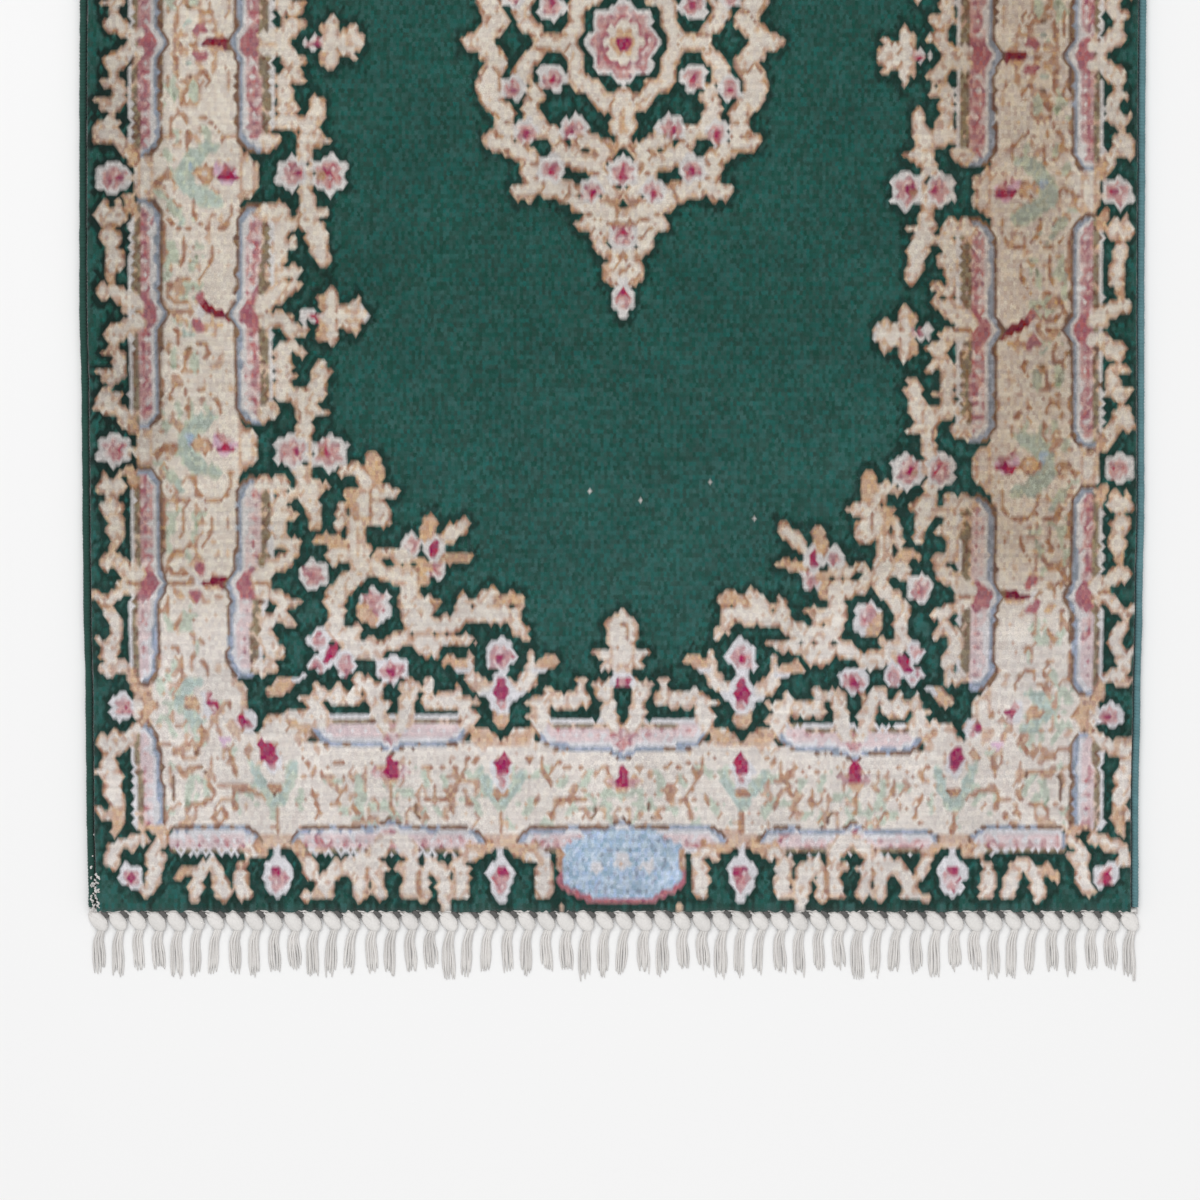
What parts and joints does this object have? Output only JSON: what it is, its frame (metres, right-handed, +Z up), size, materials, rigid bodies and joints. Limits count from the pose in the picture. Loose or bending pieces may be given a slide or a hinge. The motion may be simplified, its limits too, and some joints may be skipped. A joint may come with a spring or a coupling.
{
  "type": "kerman rug",
  "caption": "Small hand-knotted wool rug lying flat, with a green field, a leafy medallion design, ivory borders, overcast side cords and a knotted cotton fringe at each end.",
  "frame": {"origin": "on the floor under the middle of the rug, fringes included", "axes": "+Y along the rug's length, from the end in the picture to the other end; +Z up through the pile; +X across"},
  "size_m": [0.6144, 1.0826, 0.008],
  "materials": {
    "pile_wool": "cut wool pile, matte with a soft sheen",
    "selvedge_green": "overcast wool, matte",
    "selvedge_teal": "overcast wool, matte",
    "fringe_cotton": "undyed cotton yarn, matte"
  },
  "bodies": {
    "root": {"rug_body": "pile_wool", "selvedge_left": "selvedge_green", "selvedge_right": "selvedge_teal", "fringe_bottom": "fringe_cotton", "fringe_top": "fringe_cotton"}
  },
  "joints": []
}
